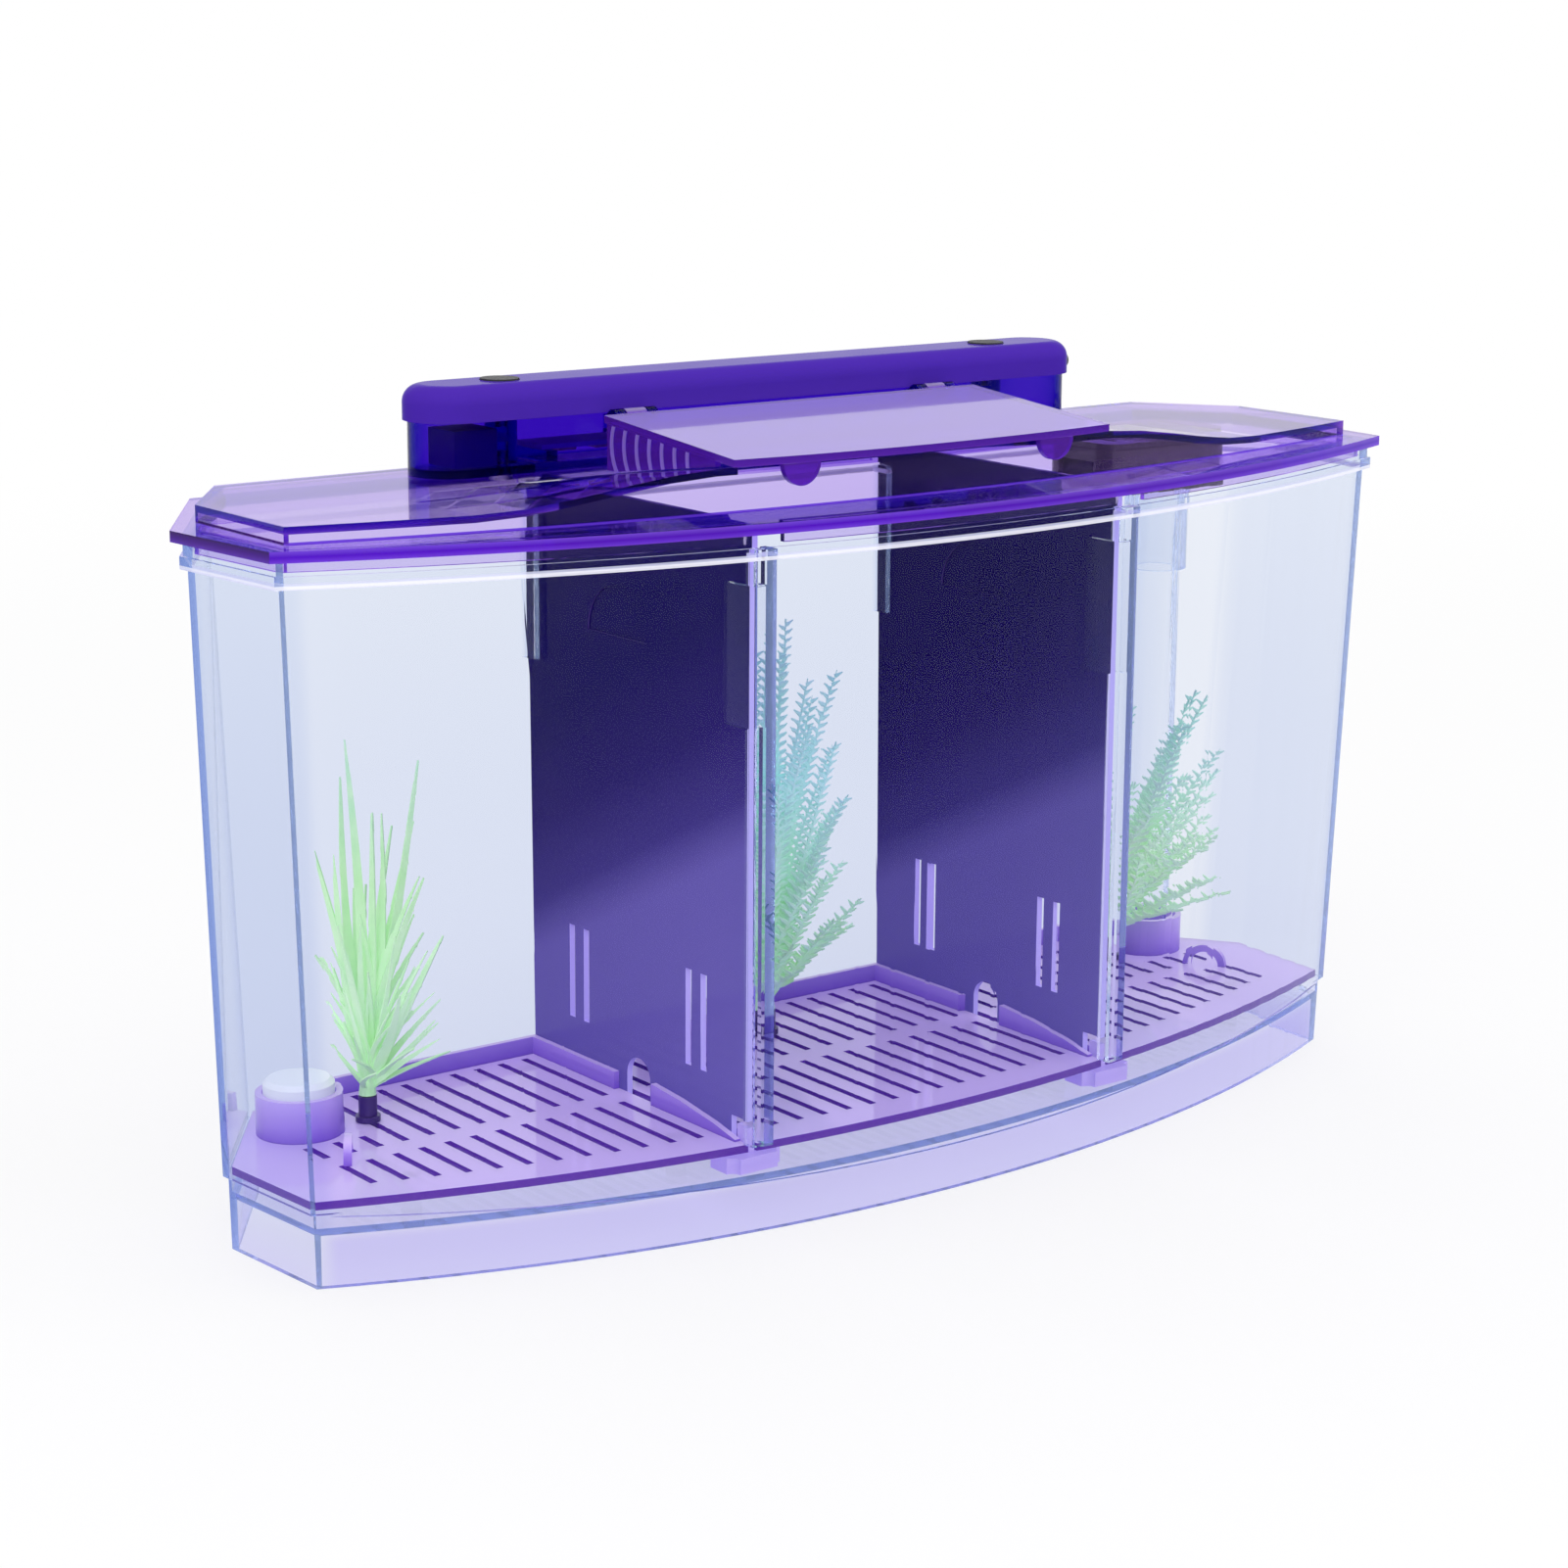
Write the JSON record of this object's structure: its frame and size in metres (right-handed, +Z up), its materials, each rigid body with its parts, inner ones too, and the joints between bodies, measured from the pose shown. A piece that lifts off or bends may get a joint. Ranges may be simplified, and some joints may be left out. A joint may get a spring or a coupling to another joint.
{
  "type": "fish breeding box",
  "caption": "Clear bow-front fish breeding box with slotted floor plates, lift-out dividers, plastic plants, and a violet lid with a feeding flap and lamp hood.",
  "frame": {"origin": "middle of the base, on the surface it stands on", "axes": "+X along the tank to the right, +Y to the straight back wall, +Z up"},
  "size_m": [0.3542, 0.1146, 0.2],
  "materials": {
    "clear_plastic": "polished",
    "violet_plastic": "polished",
    "pale_violet_plastic": "polished",
    "deep_violet_plastic": "polished",
    "dark_violet_plastic": "polished",
    "smoke_plastic": "satin",
    "white_plastic": "satin",
    "green_leaf": "satin",
    "teal_leaf": "satin",
    "dark_peg": "satin",
    "carbon": "matte",
    "steel": "brushed",
    "black_rubber": "matte",
    "frosted_window": "frosted",
    "board": "matte",
    "lamp": "satin"
  },
  "bodies": {
    "tank": {"tank_body": "clear_plastic", "floor_plate_left": "violet_plastic", "floor_plate_middle": "violet_plastic", "floor_plate_right": "violet_plastic", "plate_clip_left": "pale_violet_plastic", "plate_clip_right": "pale_violet_plastic", "lift_tube": "clear_plastic", "tube_collar": "clear_plastic", "filter_head": "smoke_plastic", "filter_head_cover": "smoke_plastic", "carbon_cartridge": "carbon", "plant_left": "green_leaf", "plant_left_foot": "dark_peg", "plant_middle": "teal_leaf", "plant_middle_foot": "dark_peg", "plant_right": "teal_leaf", "plant_right_foot": "dark_peg"},
    "lid": {"lid": "pale_violet_plastic", "lid_screws": "steel", "flap_hinge_pins": "steel", "hood_body": "deep_violet_plastic", "hood_cap": "deep_violet_plastic", "hood_screws": "steel", "screw_plugs": "black_rubber", "light_window": "frosted_window", "led_board": "board", "leds": "lamp", "driver_box": "black_rubber", "cable_gland": "black_rubber"},
    "flap": {"feeding_flap": "pale_violet_plastic"},
    "left_divider": {"divider_left": "dark_violet_plastic"},
    "right_divider": {"divider_right": "dark_violet_plastic"},
    "left_cap": {"socket_cap_left": "white_plastic"},
    "middle_cap": {"socket_cap_middle": "white_plastic"}
  },
  "joints": [
    {"name": "lid_lift", "type": "slide", "parent": "tank", "child": "lid", "axis": [0, 0, 1], "range_m": [0, 0.2]},
    {"name": "flap_hinge", "type": "hinge", "parent": "lid", "child": "flap", "pos_m": [0, 0.01845, 0.1898], "axis": [-1, 0, 0], "range_deg": [0, 85]},
    {"name": "divider_left_slide", "type": "slide", "parent": "tank", "child": "left_divider", "axis": [0, 0, 1], "range_m": [0, 0.15]},
    {"name": "divider_right_slide", "type": "slide", "parent": "tank", "child": "right_divider", "axis": [0, 0, 1], "range_m": [0, 0.15]},
    {"name": "cap_left_pull", "type": "slide", "parent": "tank", "child": "left_cap", "axis": [0, 0, 1], "range_m": [0, 0.02]},
    {"name": "cap_middle_pull", "type": "slide", "parent": "tank", "child": "middle_cap", "axis": [0, 0, 1], "range_m": [0, 0.02]}
  ],
  "couplings": [
    {"joint": "divider_left_slide", "follows": "lid_lift", "ratio": 0.75},
    {"joint": "divider_right_slide", "follows": "lid_lift", "ratio": 0.75}
  ]
}
